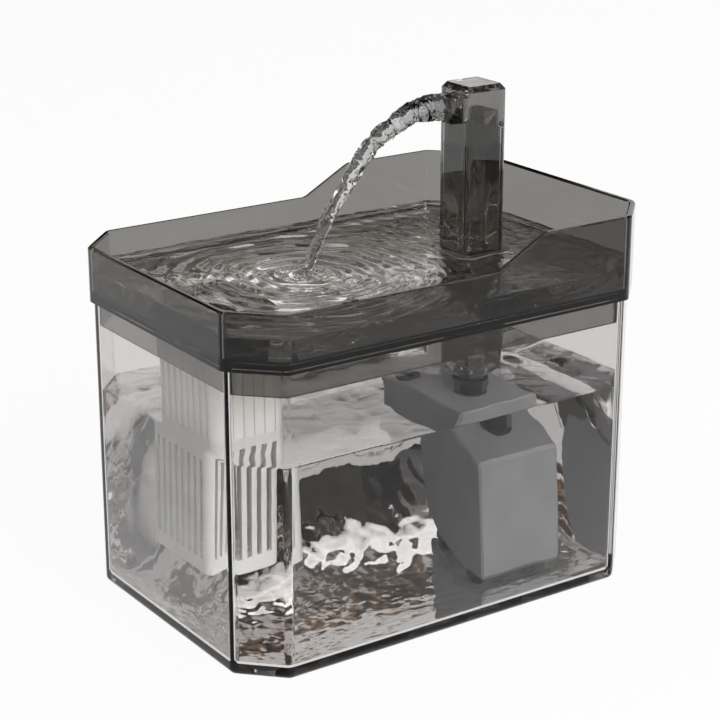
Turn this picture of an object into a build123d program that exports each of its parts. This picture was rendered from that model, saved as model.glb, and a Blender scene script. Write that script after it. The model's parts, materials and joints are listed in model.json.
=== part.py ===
from build123d import *
from math import sqrt
import os

# Pet water fountain: a clear tank, a drinking tray that plugs into it, a square water tower
# and, under the tray, a filter cage and a small submersible pump.
# Millimetres, +Z up, the water pours towards -Y, the origin lies on the table under the middle
# of the tank.

os.makedirs("parts", exist_ok=True)

# ---- tank ----------------------------------------------------------------------------------
tank_width = 132.6            # along X
tank_length = 190.0           # along Y
corner_leg = 16.15            # 45 degree corner cut, measured along either side
corner_soft = 3.5             # rounding of the upright edges
least_soft = 2.0              # smallest rounding of an upright inner edge
tank_wall = 3.0
tank_floor = 4.0
tank_rim = 122.3              # height of the tank's rim over the table
base_round = 3.0              # rounding of the tank's lower edge
floor_bevel = 1.5             # bevel inside, where walls meet the floor
rim_bevel = 0.5               # softened rim edges of the tank

pad_diameter = 12.0
pad_stand = 0.8               # how far the pads hold the tank over the table
pad_recess = 1.2
pad_fit = 0.1                 # play of a pad in its recess
pad_from_side = 17.0
pad_from_end = 17.0

notch_x = 40.0                # cord notch in the rear wall's rim
notch_width = 8.0
notch_depth = 9.0
notch_gap = 2.0               # room beside the notch in the tray's skirt

# ---- tray ----------------------------------------------------------------------------------
tray_overhang = 1.7
tray_wall = 2.6
tray_floor = 2.7
front_rise = 22.3             # low rim over the tank's rim
rear_rise = 34.2              # high rim over the tank's rim
slope_from_rear = 80.0        # from the tank's rear face to where the rim starts to climb
slope_run = 22.0
slope_round = 7.0
lip_bevel = 0.7               # bevelled top of the tray's wall
bowl_bevel = 1.6              # bevel where the bowl's wall meets its floor
skirt_depth = 10.0
skirt_wall = 2.0
skirt_fit = 0.4

# ---- filter --------------------------------------------------------------------------------
sponge_width = 37.0           # along X
sponge_depth = 23.0           # along Y
sponge_height = 33.0
sponge_round = 1.2
sponge_fit = 0.4              # play of the sponge in the well
sponge_seat = 0.3             # free height between the sponge and its grid
sponge_drop = 0.7             # sponge's top under the collar
well_x = 6.0
well_from_front = 25.0        # well's middle behind the tank's front face
well_wall = 1.2
well_soft = 1.6               # rounding of the well's upright inner edges
weir_rise = 7.5               # weir over the bowl's floor
collar_drop = 8.3             # collar under the tray that carries the cage
catch_proud = 0.22
catch_length = 9.0
catch_height = 1.2
catch_drop = 5.0              # middle of the catches under the tray

cage_wall = 1.6
cage_floor = 1.6
cage_fit = 0.3                # play of the cage on the collar
cage_gap = 0.3                # cage's upper edge under the tray
cage_bottom = 32.0
slat_pitch = 4.6
slot_width = 2.2
wide_slots = 8                # slots in each wide side
narrow_slots = 5              # slots in each narrow side
slot_margin = 5.0             # closed band under and over the slots
groove_depth = 0.8            # blind grooves between the ribs round the sponge
grid_thickness = 1.6
grid_ledge = 2.4
grid_bar = 1.8
grid_bars = 3
window_play = 0.4             # room round a catch in its window

# ---- tower and spout cap -------------------------------------------------------------------
tower_side = 20.0
tower_soft = 3.0
tower_wall = 2.0
tower_from_rear = 42.0        # tower's axis in front of the tank's rear face
tower_fit = 0.3               # play of the tower in the tray's socket
tower_bottom = 66.0
turned_rim = 3.0              # height of the round rim at the tower's lower end
turned_radius = 8.5
turned_taper = 7.5            # height over which the round end runs out into the square
waterway_radius = 3.6         # round passage above the tube's bore
waterway_height = 6.0
tube_grip = 10.0              # depth of the tube's bore in the tower
tube_fit = 0.25
flange_proud = 2.6
flange_thickness = 1.5
gasket_thickness = 0.8
overall_height = 201.0
cap_bevel = 2.2
cap_roof = 2.6
parting_from_top = 15.5       # slanted joint on the tower's axis, under the top
parting_fall = 6.0            # how much the joint falls from front to rear
parting_gap = 0.1
plug_depth = 9.0              # plug of the cap under the middle of the joint
plug_wall = 1.0
plug_fit = 0.2
mouth_height = 12.0
mouth_from_top = 3.0          # upper edge of the mouth under the top
mouth_soft = 1.8

# ---- pump ----------------------------------------------------------------------------------
pump_back = -35.0             # X of the housing's rear face
pump_depth = 40.5             # along Y
pump_bottom = 7.0
pump_round = 2.0
pump_wall = 2.0
plate_ledge = 1.0             # ledge that the back plate rests on
plate_thickness = 2.0
plate_fit = 0.15
rotor_rise = 18.0             # rotor axis over the pump's underside
rotor_cover = 19.0            # pump's top over the rotor axis
chamber_radius = 12.0
chamber_length = 10.0         # centred on the outlet, X = 0
partition = 2.0
well_bore = 7.3               # rotor well
well_shell = 0.9
well_length = 21.6            # from the chamber's rear face
well_end = 1.4
volute_thickness = 2.0
volute_radius = 14.9
volute_fit = 0.1
eye_radius = 7.5
spider_hub = 4.2
spider_arm = 1.6
spider_arms = 3
seal_radius = 13.6            # middle of the ring
seal_section = 1.5            # width and thickness of the ring
seal_play = 0.05

shaft_radius = 1.25
shaft_fit = 0.03
bush_radius = 2.5
bush_fit = 0.05
bush_length = 2.4
bush_skin = 0.5               # closed end of a bush
bush_socket = 1.2             # wall round the rear bush
running_fit = 0.05
end_play = 0.3
sleeve_radius = 2.4
magnet_radius = 6.3
magnet_fit = 0.05
magnet_length = 17.5
magnet_gap = 1.0              # magnet behind the shroud
impeller_radius = 10.0
shroud_thickness = 1.2
shroud_gap = 0.6              # shroud in front of the chamber's rear face
blade_height = 6.2
blade_thickness = 1.0
blade_sweep = 28.0            # angle between a blade's root and its tip
blade_curve = 9.0             # radius of a blade's middle line
blade_count = 6
hub_radius = 3.4

core_thickness = 11.5         # along X
core_width = 28.0             # along Y
core_rise = 15.0              # core's top over the rotor axis
core_reach = 10.0             # core's poles under the rotor axis
core_yoke = 4.0
core_window = 13.0
core_from_chamber = 8.0
core_air = 0.2
coil_width = 12.0
coil_build = 1.8
coil_fit = 0.1
board_thickness = 1.6
board_width = 30.0
board_height = 26.0

spigot_radius = 3.5
spigot_bore = 2.4
spigot_height = 12.0
tube_bore = 3.6
tube_radius = 5.1
tube_lift = 0.3               # tube's lower end over the pump
tube_top_gap = 0.5            # tube's upper end under the bore's shoulder
collar_radius = 7.5
collar_height = 16.0
collar_fit = 0.2

cover_length = 13.0
cover_wall = 1.6
cover_fit = 0.15
cover_rim = 2.0               # rim on the housing that the cover pushes over
cover_rim_wall = 1.2
intake_slots = 4
intake_slot_width = 1.5
intake_slot_length = 24.0
intake_pitch = 2.9

gate_width = 5.2              # part of the gate that shows
gate_wings = 1.0              # each wing that runs in the track
gate_thickness = 0.7
gate_height = 12.0
gate_travel = 6.0
gate_fit = 0.1
gate_face = 0.7               # depth of the track's lips
gate_pad = 1.2                # extra wall inside, behind the track
gate_slots = 3
gate_slot_height = 1.5
gate_slot_pitch = 3.0

grommet_from_back = 7.5       # grommet's middle in front of the pump's rear face
grommet_from_side = 7.75      # and inside the pump's -Y face
grommet_length = 12.0         # along Y
grommet_width = 6.0
grommet_flange = 1.5
grommet_neck = 0.6            # step from flange to neck, all round
grommet_depth = 6.8           # under the housing's top
grommet_fit = 0.1
cord_bore = 1.75              # radius of the cord's entry
cord_bore_floor = 1.0

cup_radius = 4.5
cup_neck = 2.2
cup_stud = 1.4
cup_stud_length = 1.4
cup_lip = 0.5
cup_hollow = 0.9
cup_fit = 0.1
cup_from_edge = 6.0

# ---- places worked out from the sizes --------------------------------------------------------
tank_front = -tank_length / 2
tank_rear = tank_length / 2
tank_bottom = pad_stand
reservoir_floor = tank_bottom + tank_floor
tray_bottom = tank_rim
bowl_floor = tray_bottom + tray_floor
front_rim = tray_bottom + front_rise
rear_rim = tray_bottom + rear_rise
skirt_inset = tank_wall + skirt_fit
slope_start = tank_rear - slope_from_rear

well_y = tank_front + well_from_front
well_width = sponge_width + 2 * sponge_fit
well_depth = sponge_depth + 2 * sponge_fit
collar_width = well_width + 2 * well_wall
collar_depth = well_depth + 2 * well_wall
collar_bottom = tray_bottom - collar_drop
weir_top = bowl_floor + weir_rise

cage_inner_width = collar_width + 2 * cage_fit
cage_inner_depth = collar_depth + 2 * cage_fit
cage_width = cage_inner_width + 2 * cage_wall
cage_depth = cage_inner_depth + 2 * cage_wall
cage_soft = well_soft + well_wall + cage_fit
cage_top = tray_bottom - cage_gap
sponge_top = collar_bottom - sponge_drop
sponge_bottom = sponge_top - sponge_height
grid_top = sponge_bottom - sponge_seat
grid_bottom = grid_top - grid_thickness
slots_bottom = cage_bottom + slot_margin
slots_height = grid_bottom - cage_bottom - 2 * slot_margin + grid_thickness
grooves_bottom = grid_top + slot_margin
grooves_height = tray_bottom - catch_drop - grooves_bottom - slot_margin

tower_y = tank_rear - tower_from_rear
tower_inner = tower_side - 2 * tower_wall
socket_side = tower_side + 2 * tower_fit
gasket_bottom = bowl_floor
flange_bottom = gasket_bottom + gasket_thickness
tube_bore_top = tower_bottom + tube_grip
cavity_bottom = tube_bore_top + waterway_height
plug_side = tower_inner - 2 * plug_fit
plug_inner = plug_side - 2 * plug_wall
plug_soft = tower_soft - tower_wall
parting_middle = overall_height - parting_from_top
plug_bottom = parting_middle - plug_depth
mouth_bottom = overall_height - mouth_from_top - mouth_height
mouth_width = plug_inner

grommet_x = pump_back + grommet_from_back
grommet_y = tower_y - pump_depth / 2 + grommet_from_side
rotor_height = pump_bottom + rotor_rise
pump_height = rotor_rise + rotor_cover
core_top = rotor_height + core_rise
core_bottom = rotor_height - core_reach
pump_top = pump_bottom + pump_height
pump_middle = pump_bottom + pump_height / 2
chamber_rear = -chamber_length / 2
chamber_front = chamber_length / 2
pump_front = chamber_front + volute_thickness
cavity_front = chamber_rear - partition
plate_front = pump_back + plate_thickness
well_rear = chamber_rear - well_length
bush_seat = well_rear + bush_length
shaft_rear = well_rear + bush_skin
front_bush_rear = pump_front - bush_length
shaft_front = pump_front - bush_skin
sleeve_rear = bush_seat + end_play
hub_front = front_bush_rear - end_play
shroud_rear = chamber_rear + shroud_gap
shroud_front = shroud_rear + shroud_thickness
magnet_front = shroud_rear - magnet_gap
core_front = chamber_rear - core_from_chamber
cover_front = pump_front + cover_length

tower_axis = Axis((0, tower_y, 0), (0, 0, 1))


def tank_plan(inset):
    """Plan of the tank with its cut corners, drawn `inset` inside the outer face."""
    with BuildSketch(mode=Mode.PRIVATE) as plan:
        Rectangle(tank_width - 2 * inset, tank_length - 2 * inset)
        chamfer(plan.vertices(), corner_leg - (2 - sqrt(2)) * inset)
        fillet(plan.vertices(), max(corner_soft - inset, least_soft))
    return plan.sketch


def joint_plane(gap):
    """Slanted plane between tower and spout cap, `gap` above the joint."""
    return Plane(
        origin=(0, tower_y, parting_middle + gap),
        x_dir=(1, 0, 0),
        z_dir=(0, parting_fall, tower_side),
    )


def mouth_outline():
    """Outline of the pouring mouth, seen from the front."""
    with BuildSketch(mode=Mode.PRIVATE) as outline:
        with Locations((0, mouth_bottom + mouth_height / 2)):
            RectangleRounded(mouth_width, mouth_height, mouth_soft)
    return outline.sketch


# ---- tank ----------------------------------------------------------------------------------
pad_x = tank_width / 2 - pad_from_side
pad_y = tank_length / 2 - pad_from_end

with BuildPart() as tank:
    with BuildSketch(Plane.XY.offset(tank_bottom)):
        add(tank_plan(0))
    extrude(amount=tank_rim - tank_bottom)
    fillet(tank.faces().sort_by(Axis.Z)[0].edges(), base_round)
    with BuildSketch(Plane.XY.offset(reservoir_floor)):
        add(tank_plan(tank_wall))
    extrude(amount=tank_rim - reservoir_floor, mode=Mode.SUBTRACT)
    chamfer(tank.faces().filter_by(Plane.XY).sort_by(Axis.Z)[1].edges(), floor_bevel)
    chamfer(tank.faces().sort_by(Axis.Z)[-1].edges(), rim_bevel)
    # the cord leaves through a notch in the rear rim
    with BuildSketch(Plane.XZ.offset(-tank_length / 2)):
        with Locations((notch_x, tank_rim)):
            SlotOverall(2 * notch_depth, notch_width, rotation=90)
    extrude(amount=tank_wall, mode=Mode.SUBTRACT)
    # recesses for the foot pads
    with BuildSketch(Plane.XY.offset(tank_bottom)):
        with GridLocations(2 * pad_x, 2 * pad_y, 2, 2):
            Circle(pad_diameter / 2 + pad_fit)
    extrude(amount=pad_recess, mode=Mode.SUBTRACT)

with BuildPart() as foot_pads:
    with BuildSketch(Plane.XY):
        with GridLocations(2 * pad_x, 2 * pad_y, 2, 2):
            Circle(pad_diameter / 2)
    extrude(amount=pad_stand + pad_recess)

# ---- tray ----------------------------------------------------------------------------------
with BuildPart() as tray:
    with BuildSketch(Plane.XY.offset(tray_bottom)):
        add(tank_plan(-tray_overhang))
    extrude(amount=rear_rise)
    # the rim is low round the front and climbs to the rear
    with BuildSketch(Plane.YZ):
        with BuildLine():
            FilletPolyline(
                (-tank_length, front_rim),
                (slope_start, front_rim),
                (slope_start + slope_run, rear_rim),
                (tank_length, rear_rim),
                radius=slope_round,
            )
            Polyline(
                (tank_length, rear_rim),
                (tank_length, rear_rim + rear_rise),
                (-tank_length, rear_rim + rear_rise),
                (-tank_length, front_rim),
            )
        make_face()
    extrude(amount=tank_width, both=True, mode=Mode.SUBTRACT)
    # bowl
    with BuildSketch(Plane.XY.offset(bowl_floor)):
        add(tank_plan(tray_wall - tray_overhang))
    extrude(amount=rear_rise, mode=Mode.SUBTRACT)
    chamfer(tray.faces().filter_by(Plane.XY).sort_by(Axis.Z)[1].edges(), bowl_bevel)
    rim_faces = tray.faces().filter_by(
        lambda face: face.normal_at().Z > 0.5 and face.center().Z > front_rim - lip_bevel
    )
    rim_edges = rim_faces.edges()
    chamfer([edge for edge in rim_edges if rim_edges.count(edge) == 1], lip_bevel)
    # skirt that plugs into the tank, open at the cord notch
    with BuildSketch(Plane.XY.offset(tray_bottom)):
        add(tank_plan(skirt_inset))
        add(tank_plan(skirt_inset + skirt_wall), mode=Mode.SUBTRACT)
    extrude(amount=-skirt_depth)
    with BuildSketch(Plane.XZ.offset(skirt_inset - tank_length / 2)):
        with Locations((notch_x, tray_bottom - skirt_depth / 2)):
            Rectangle(notch_width + 2 * notch_gap, skirt_depth)
    extrude(amount=skirt_wall, mode=Mode.SUBTRACT)
    # filter well: a weir in the bowl and a collar under it
    with BuildSketch(Plane.XY.offset(collar_bottom)):
        with Locations((well_x, well_y)):
            RectangleRounded(collar_width, collar_depth, well_soft + well_wall)
    extrude(amount=weir_top - collar_bottom)
    with BuildSketch(Plane.XY.offset(collar_bottom)):
        with Locations((well_x, well_y)):
            RectangleRounded(well_width, well_depth, well_soft)
    extrude(amount=weir_top - collar_bottom, mode=Mode.SUBTRACT)
    # low catches on the collar's narrow sides, for the cage
    with BuildSketch(Plane.XY.offset(tray_bottom - catch_drop - catch_height / 2)):
        with Locations((well_x, well_y)):
            Rectangle(collar_width + 2 * catch_proud, catch_length)
            Rectangle(collar_width - well_wall, catch_length, mode=Mode.SUBTRACT)
    extrude(amount=catch_height)
    # socket for the tower
    with BuildSketch(Plane.XY.offset(tray_bottom)):
        with Locations((0, tower_y)):
            RectangleRounded(socket_side, socket_side, tower_soft + tower_fit)
    extrude(amount=tray_floor, mode=Mode.SUBTRACT)

# ---- tower ---------------------------------------------------------------------------------
with BuildPart() as tower:
    with BuildSketch(Plane.XY.offset(tower_bottom)):
        with Locations((0, tower_y)):
            RectangleRounded(tower_side, tower_side, tower_soft)
    extrude(amount=overall_height - tower_bottom)
    split(bisect_by=joint_plane(0), keep=Keep.BOTTOM)
    # the lower end is turned down to a round rim
    with BuildSketch(Plane.XZ.offset(-tower_y)):
        with BuildLine():
            Polyline(
                (turned_radius, tower_bottom),
                (turned_radius, tower_bottom + turned_rim),
                (tower_side / sqrt(2), tower_bottom + turned_rim + turned_taper),
                (tower_side, tower_bottom + turned_rim + turned_taper),
                (tower_side, tower_bottom),
                close=True,
            )
        make_face()
    revolve(axis=tower_axis, mode=Mode.SUBTRACT)
    with BuildSketch(Plane.XY.offset(flange_bottom)):
        with Locations((0, tower_y)):
            flange_side = tower_side + 2 * flange_proud
            RectangleRounded(flange_side, flange_side, tower_soft + flange_proud / 2)
    extrude(amount=flange_thickness)
    # square waterway, with a round passage and the tube's bore at its foot
    with BuildSketch(Plane.XY.offset(cavity_bottom)):
        with Locations((0, tower_y)):
            RectangleRounded(tower_inner, tower_inner, tower_soft - tower_wall)
    extrude(amount=overall_height - cavity_bottom, mode=Mode.SUBTRACT)
    with BuildSketch(Plane.XY.offset(tower_bottom)):
        with Locations((0, tower_y)):
            Circle(waterway_radius)
    extrude(amount=cavity_bottom - tower_bottom, mode=Mode.SUBTRACT)
    with BuildSketch(Plane.XY.offset(tower_bottom)):
        with Locations((0, tower_y)):
            Circle(tube_radius + tube_fit)
    extrude(amount=tube_grip, mode=Mode.SUBTRACT)
    with BuildSketch(Plane.XZ.offset(-tower_y)):
        add(mouth_outline())
    extrude(amount=tower_side, mode=Mode.SUBTRACT)

with BuildPart() as tower_gasket:
    with BuildSketch(Plane.XY.offset(gasket_bottom)):
        with Locations((0, tower_y)):
            RectangleRounded(flange_side, flange_side, tower_soft + flange_proud / 2)
            RectangleRounded(
                socket_side, socket_side, tower_soft + tower_fit, mode=Mode.SUBTRACT
            )
    extrude(amount=gasket_thickness)

with BuildPart() as spout_cap:
    with BuildSketch(Plane.XY.offset(plug_bottom)):
        with Locations((0, tower_y)):
            RectangleRounded(tower_side, tower_side, tower_soft)
    extrude(amount=overall_height - plug_bottom)
    chamfer(spout_cap.faces().sort_by(Axis.Z)[-1].edges(), cap_bevel)
    split(bisect_by=joint_plane(parting_gap), keep=Keep.TOP)
    with BuildSketch(Plane.XY.offset(plug_bottom)):
        with Locations((0, tower_y)):
            RectangleRounded(plug_side, plug_side, plug_soft)
    extrude(amount=parting_middle + parting_fall - plug_bottom)
    with BuildSketch(Plane.XY.offset(plug_bottom)):
        with Locations((0, tower_y)):
            Rectangle(plug_inner, plug_inner)
    extrude(amount=overall_height - cap_roof - plug_bottom, mode=Mode.SUBTRACT)
    with BuildSketch(Plane.XZ.offset(-tower_y)):
        add(mouth_outline())
    extrude(amount=tower_side, mode=Mode.SUBTRACT)

# ---- filter cage and sponge ------------------------------------------------------------------
with BuildPart() as filter_cage:
    with BuildSketch(Plane.XY.offset(cage_bottom)):
        with Locations((well_x, well_y)):
            RectangleRounded(cage_width, cage_depth, cage_soft + cage_wall)
    extrude(amount=cage_top - cage_bottom)
    with BuildSketch(Plane.XY.offset(cage_bottom + cage_floor)):
        with Locations((well_x, well_y)):
            RectangleRounded(cage_inner_width, cage_inner_depth, cage_soft)
    extrude(amount=cage_top - cage_bottom, mode=Mode.SUBTRACT)
    # grid under the sponge
    with BuildSketch(Plane.XY.offset(grid_bottom)):
        with Locations((well_x, well_y)):
            RectangleRounded(cage_inner_width + cage_wall, cage_inner_depth + cage_wall, cage_soft)
            Rectangle(
                cage_inner_width - 2 * grid_ledge,
                cage_inner_depth - 2 * grid_ledge,
                mode=Mode.SUBTRACT,
            )
        bar_pitch = (cage_inner_width - 2 * grid_ledge) / (grid_bars + 1)
        with Locations((well_x, well_y)):
            with GridLocations(bar_pitch, 0, grid_bars, 1):
                Rectangle(grid_bar, cage_inner_depth)
    extrude(amount=grid_thickness)
    # open slots below the grid, through both walls of each pair
    with BuildSketch(Plane.XZ.offset(-well_y)):
        with Locations((well_x, slots_bottom + slots_height / 2)):
            with GridLocations(slat_pitch, 0, wide_slots, 1):
                Rectangle(slot_width, slots_height)
    extrude(amount=cage_depth, both=True, mode=Mode.SUBTRACT)
    with BuildSketch(Plane.YZ.offset(well_x)):
        with Locations((well_y, slots_bottom + slots_height / 2)):
            with GridLocations(slat_pitch, 0, narrow_slots, 1):
                Rectangle(slot_width, slots_height)
    extrude(amount=cage_width, both=True, mode=Mode.SUBTRACT)
    # blind grooves round the sponge leave ribs in line with the slats
    for side in (-1, 1):
        with BuildSketch(Plane.XZ.offset(-well_y - side * cage_depth / 2)):
            with Locations((well_x, grooves_bottom + grooves_height / 2)):
                with GridLocations(slat_pitch, 0, wide_slots, 1):
                    Rectangle(slot_width, grooves_height)
        extrude(amount=side * groove_depth, mode=Mode.SUBTRACT)
        with BuildSketch(Plane.YZ.offset(well_x + side * cage_width / 2)):
            with Locations((well_y, grooves_bottom + grooves_height / 2)):
                with GridLocations(slat_pitch, 0, narrow_slots, 1):
                    Rectangle(slot_width, grooves_height)
        extrude(amount=-side * groove_depth, mode=Mode.SUBTRACT)
    # drain slots in the floor
    with BuildSketch(Plane.XY.offset(cage_bottom)):
        with Locations((well_x, well_y)):
            with GridLocations(slat_pitch, 0, wide_slots, 1):
                Rectangle(slot_width, cage_inner_depth - 2 * grid_ledge)
    extrude(amount=cage_floor, mode=Mode.SUBTRACT)
    # windows that the tray's catches click into
    with BuildSketch(Plane.YZ.offset(well_x)):
        with Locations((well_y, tray_bottom - catch_drop)):
            Rectangle(catch_length + 2 * window_play, catch_height + 2 * window_play)
    extrude(amount=cage_width, both=True, mode=Mode.SUBTRACT)

with BuildPart() as filter_sponge:
    with Locations((well_x, well_y, sponge_bottom + sponge_height / 2)):
        Box(sponge_width, sponge_depth, sponge_height)
    fillet(filter_sponge.edges().filter_by(Axis.Z), sponge_round)

# ---- pump housing ----------------------------------------------------------------------------
cup_places = [
    (x, tower_y + side * (pump_depth / 2 - cup_from_edge), 0)
    for x in (pump_back + cup_from_edge, pump_front - cup_from_edge)
    for side in (-1, 1)
]

with BuildPart() as pump_housing:
    with BuildSketch(Plane.YZ.offset(pump_back)):
        with Locations((tower_y, pump_middle)):
            RectangleRounded(pump_depth, pump_height, pump_round)
    extrude(amount=pump_front - pump_back)
    chamfer(pump_housing.faces().sort_by(Axis.X)[0].edges(), pump_round / 2)
    # motor cavity, with a ledge for the back plate
    with BuildSketch(Plane.YZ.offset(pump_back)):
        with Locations((tower_y, pump_middle)):
            Rectangle(pump_depth - 2 * pump_wall, pump_height - 2 * pump_wall)
    extrude(amount=cavity_front - pump_back, mode=Mode.SUBTRACT)
    with BuildSketch(Plane.YZ.offset(pump_back)):
        with Locations((tower_y, pump_middle)):
            Rectangle(
                pump_depth - 2 * (pump_wall - plate_ledge),
                pump_height - 2 * (pump_wall - plate_ledge),
            )
    extrude(amount=plate_thickness, mode=Mode.SUBTRACT)
    # rotor well, open to the chamber
    with BuildSketch(Plane.YZ.offset(well_rear - well_end)):
        with Locations((tower_y, rotor_height)):
            Circle(well_bore + well_shell)
    extrude(amount=cavity_front - well_rear + well_end)
    with BuildSketch(Plane.YZ.offset(well_rear)):
        with Locations((tower_y, rotor_height)):
            Circle(well_bore)
    extrude(amount=well_length, mode=Mode.SUBTRACT)
    with BuildSketch(Plane.YZ.offset(well_rear)):
        with Locations((tower_y, rotor_height)):
            Circle(bush_radius + bush_fit + bush_socket)
            Circle(bush_radius + bush_fit, mode=Mode.SUBTRACT)
    extrude(amount=bush_length)
    # impeller chamber, its seal groove and the volute plate's seat
    with BuildSketch(Plane.YZ.offset(chamber_rear)):
        with Locations((tower_y, rotor_height)):
            Circle(chamber_radius)
    extrude(amount=chamber_length, mode=Mode.SUBTRACT)
    with BuildSketch(Plane.YZ.offset(chamber_front)):
        with Locations((tower_y, rotor_height)):
            Circle(volute_radius + volute_fit)
    extrude(amount=volute_thickness, mode=Mode.SUBTRACT)
    with BuildSketch(Plane.YZ.offset(chamber_front)):
        with Locations((tower_y, rotor_height)):
            Circle(seal_radius + seal_section / 2 + seal_play)
            Circle(seal_radius - seal_section / 2 - seal_play, mode=Mode.SUBTRACT)
    extrude(amount=-(seal_section + 2 * seal_play), mode=Mode.SUBTRACT)
    # rim that the intake cover pushes over
    with BuildSketch(Plane.YZ.offset(pump_front)):
        with Locations((tower_y, pump_middle)):
            rim_inset = cover_wall + cover_fit
            Rectangle(pump_depth - 2 * rim_inset, pump_height - 2 * rim_inset)
            Rectangle(
                pump_depth - 2 * (rim_inset + cover_rim_wall),
                pump_height - 2 * (rim_inset + cover_rim_wall),
                mode=Mode.SUBTRACT,
            )
    extrude(amount=cover_rim)
    # outlet
    with BuildSketch(Plane.XY.offset(pump_top)):
        with Locations((0, tower_y)):
            Circle(spigot_radius)
    extrude(amount=spigot_height)
    with BuildSketch(Plane.XY.offset(rotor_height)):
        with Locations((0, tower_y)):
            Circle(spigot_bore)
    extrude(amount=pump_top + spigot_height - rotor_height, mode=Mode.SUBTRACT)
    # hole for the cord grommet and blind holes for the suction cups
    with BuildSketch(Plane.XY.offset(pump_top)):
        with Locations((grommet_x, grommet_y)):
            SlotOverall(
                grommet_length - 2 * grommet_neck + 2 * grommet_fit,
                grommet_width - 2 * grommet_neck + 2 * grommet_fit,
                rotation=90,
            )
    extrude(amount=-pump_wall, mode=Mode.SUBTRACT)
    with BuildSketch(Plane.XY.offset(pump_bottom)):
        with Locations(*[place[:2] for place in cup_places]):
            Circle(cup_stud + cup_fit)
    extrude(amount=cup_stud_length + cup_fit, mode=Mode.SUBTRACT)

with BuildPart() as pump_back_plate:
    with BuildSketch(Plane.YZ.offset(pump_back)):
        with Locations((tower_y, pump_middle)):
            Rectangle(
                pump_depth - 2 * (pump_wall - plate_ledge + plate_fit),
                pump_height - 2 * (pump_wall - plate_ledge + plate_fit),
            )
    extrude(amount=plate_thickness)

with BuildPart() as driver_board:
    with BuildSketch(Plane.YZ.offset(plate_front)):
        with Locations((tower_y, pump_middle)):
            Rectangle(board_width, board_height)
    extrude(amount=board_thickness)

with BuildPart() as stator_core:
    with BuildSketch(Plane.YZ.offset(core_front)):
        with Locations((tower_y, (core_top + core_bottom) / 2)):
            Rectangle(core_width, core_top - core_bottom)
        with Locations((tower_y, (core_top - core_yoke + core_bottom) / 2)):
            Rectangle(core_window, core_top - core_yoke - core_bottom, mode=Mode.SUBTRACT)
        with Locations((tower_y, rotor_height)):
            Circle(well_bore + well_shell + core_air, mode=Mode.SUBTRACT)
    extrude(amount=-core_thickness)

with BuildPart() as stator_coil:
    with BuildSketch(Plane.XZ.offset(-tower_y)):
        with Locations((core_front - core_thickness / 2, core_top - core_yoke / 2)):
            Rectangle(core_thickness + 2 * coil_build, core_yoke + 2 * coil_build)
            Rectangle(
                core_thickness + 2 * coil_fit, core_yoke + 2 * coil_fit, mode=Mode.SUBTRACT
            )
    extrude(amount=coil_width / 2, both=True)

# ---- rotor -----------------------------------------------------------------------------------
with BuildPart() as rear_bush:
    with BuildSketch(Plane.YZ.offset(well_rear)):
        with Locations((tower_y, rotor_height)):
            Circle(bush_radius)
    extrude(amount=bush_length)
    with BuildSketch(Plane.YZ.offset(bush_seat)):
        with Locations((tower_y, rotor_height)):
            Circle(shaft_radius + shaft_fit)
    extrude(amount=-(bush_length - bush_skin), mode=Mode.SUBTRACT)

with BuildPart() as front_bush:
    with BuildSketch(Plane.YZ.offset(front_bush_rear)):
        with Locations((tower_y, rotor_height)):
            Circle(bush_radius)
            Circle(shaft_radius + shaft_fit, mode=Mode.SUBTRACT)
    extrude(amount=bush_length - bush_skin)
    with BuildSketch(Plane.YZ.offset(shaft_front)):
        with Locations((tower_y, rotor_height)):
            Circle(bush_radius)
    extrude(amount=bush_skin)

with BuildPart() as rotor_shaft:
    with BuildSketch(Plane.YZ.offset(shaft_rear)):
        with Locations((tower_y, rotor_height)):
            Circle(shaft_radius)
    extrude(amount=shaft_front - shaft_rear)

with BuildPart() as rotor_magnet:
    with BuildSketch(Plane.YZ.offset(magnet_front)):
        with Locations((tower_y, rotor_height)):
            Circle(magnet_radius)
            Circle(sleeve_radius + magnet_fit, mode=Mode.SUBTRACT)
    extrude(amount=-magnet_length)

# one curved blade, drawn about the rotor's axis
with BuildSketch() as blade:
    with BuildLine():
        root = Vector(hub_radius - blade_thickness / 2, 0)
        tip = Vector(impeller_radius - blade_thickness, 0).rotate(Axis.Z, blade_sweep)
        RadiusArc(root, tip, blade_curve)
    trace(line_width=blade_thickness)

with BuildPart() as impeller:
    with BuildSketch(Plane.YZ.offset(sleeve_rear)):
        with Locations((tower_y, rotor_height)):
            Circle(sleeve_radius)
    extrude(amount=shroud_rear - sleeve_rear)
    with BuildSketch(Plane.YZ.offset(shroud_rear)):
        with Locations((tower_y, rotor_height)):
            Circle(impeller_radius)
    extrude(amount=shroud_thickness)
    with BuildSketch(Plane.YZ.offset(shroud_front)):
        with Locations((tower_y, rotor_height)):
            with PolarLocations(0, blade_count):
                add(blade.sketch)
    extrude(amount=blade_height)
    with BuildSketch(Plane.YZ.offset(shroud_front)):
        with Locations((tower_y, rotor_height)):
            Circle(hub_radius)
    extrude(amount=hub_front - shroud_front)
    with BuildSketch(Plane.YZ.offset(sleeve_rear)):
        with Locations((tower_y, rotor_height)):
            Circle(shaft_radius + running_fit)
    extrude(amount=hub_front - sleeve_rear, mode=Mode.SUBTRACT)

with BuildPart() as volute_plate:
    with BuildSketch(Plane.YZ.offset(chamber_front)):
        with Locations((tower_y, rotor_height)):
            Circle(volute_radius)
            Circle(eye_radius, mode=Mode.SUBTRACT)
            with PolarLocations(eye_radius / 2, spider_arms):
                Rectangle(eye_radius + spider_arm, spider_arm)
            Circle(spider_hub)
            Circle(bush_radius + bush_fit, mode=Mode.SUBTRACT)
    extrude(amount=volute_thickness)

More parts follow.
